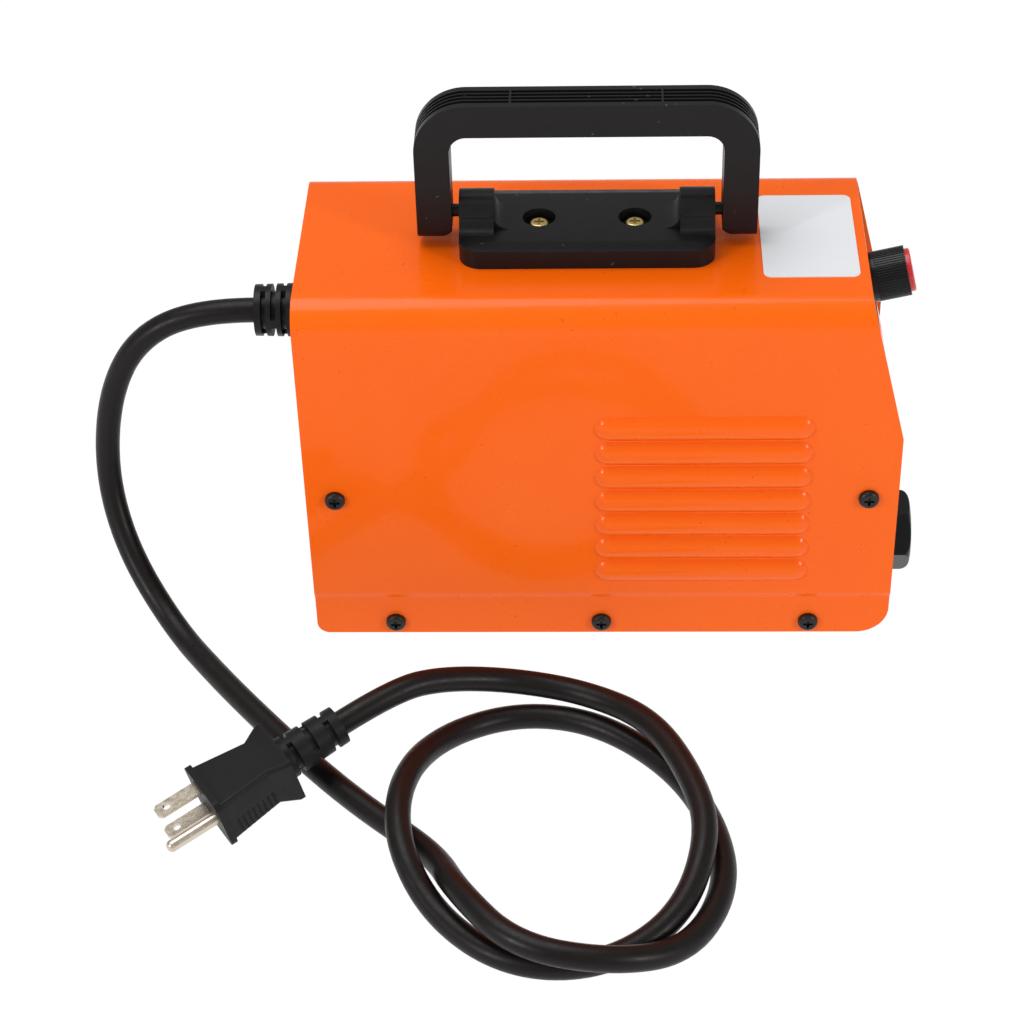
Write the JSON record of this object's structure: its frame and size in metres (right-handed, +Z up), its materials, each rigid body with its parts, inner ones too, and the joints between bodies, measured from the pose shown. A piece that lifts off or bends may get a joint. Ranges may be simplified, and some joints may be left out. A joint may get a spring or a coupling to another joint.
{
  "type": "stick welding inverter",
  "caption": "Small stick welding inverter: orange sheet cover, folding carry handle, control knob, hexagonal output sockets, rear fan, and a mains cord ending in a three-pin plug.",
  "frame": {"origin": "middle of the machine's footprint on the floor, taken without its mains cord", "axes": "+X out of the front panel, along the length; +Y across the machine; +Z up"},
  "size_m": [0.3294, 0.2878, 0.2274],
  "materials": {
    "orange_paint": "satin powder coat",
    "zinc_sheet": "plain zinc plate",
    "black_paint": "fine-texture powder coat",
    "black_rubber": "matt",
    "black_screw": "black oxide",
    "label_film": "satin film",
    "black_nylon": "moulded, semi-matt",
    "yellow_zinc": "yellow zinc plate",
    "steel_pin": "turned",
    "display_tint": "smoked",
    "lens_amber": "polished",
    "component_black": "moulded epoxy",
    "black_gloss": "moulded, polished",
    "red_plastic": "translucent, polished",
    "brass": "turned",
    "cord_jacket": "satin",
    "nickel": "nickel plate, slightly warm",
    "board_laminate": "solder mask",
    "aluminium": "extruded, as cut",
    "capacitor_sleeve": "shrink sleeve",
    "ferrite": "pressed ferrite",
    "copper": "drawn copper"
  },
  "bodies": {
    "case": {"cover": "orange_paint", "base_tray": "zinc_sheet", "front_panel": "black_paint", "rear_panel": "black_paint", "rubber_feet": "black_rubber", "foot_screws": "black_screw", "cover_screws": "black_screw", "top_label": "label_film", "handle_base": "black_nylon", "handle_screws": "yellow_zinc", "handle_nuts": "yellow_zinc", "hinge_pins": "steel_pin", "scale_plate": "label_film", "display_window": "display_tint", "indicator_lenses": "lens_amber", "potentiometer_body": "component_black", "potentiometer_nut": "yellow_zinc", "socket_collar_positive": "black_gloss", "socket_collar_negative": "black_gloss", "socket_contact_positive": "brass", "socket_contact_negative": "brass", "socket_nuts": "component_black", "fan_frame": "component_black", "fan_screws": "yellow_zinc", "switch_housing": "black_gloss", "switch_terminals": "brass", "cord_strain_relief": "black_nylon", "power_cord": "cord_jacket", "plug_body": "black_rubber", "plug_blades": "nickel", "plug_ground_pin": "nickel", "main_board": "board_laminate", "board_standoffs": "brass", "left_heatsink": "aluminium", "right_heatsink": "aluminium", "power_transistors": "component_black", "bus_capacitors": "capacitor_sleeve", "rectifier_bridge": "component_black", "transformer_core": "ferrite", "transformer_winding": "copper", "output_choke": "copper", "output_busbars": "copper", "control_board": "board_laminate"},
    "handle": {"carry_handle": "black_nylon"},
    "knob": {"control_knob": "black_gloss", "knob_cap": "red_plastic", "potentiometer_shaft": "steel_pin"},
    "rocker": {"switch_rocker": "red_plastic"},
    "fan": {"fan_rotor": "component_black"}
  },
  "joints": [
    {"name": "handle_fold", "type": "hinge", "parent": "case", "child": "handle", "pos_m": [-0.00882, 0, 0.1786], "axis": [1, 0, 0], "range_deg": [-90, 90]},
    {"name": "knob_turn", "type": "hinge", "parent": "case", "child": "knob", "pos_m": [0.09843, 0, 0.14633], "axis": [0.9722, 0, 0.2341], "range_deg": [-150, 150]},
    {"name": "rocker_throw", "type": "hinge", "parent": "case", "child": "rocker", "pos_m": [-0.11282, -0.02, 0.103], "axis": [0, 0, 1], "range_deg": [0, 20]},
    {"name": "fan_spin", "type": "hinge", "parent": "case", "child": "fan", "pos_m": [-0.10632, 0, 0.053], "axis": [1, 0, 0], "continuous": true}
  ]
}
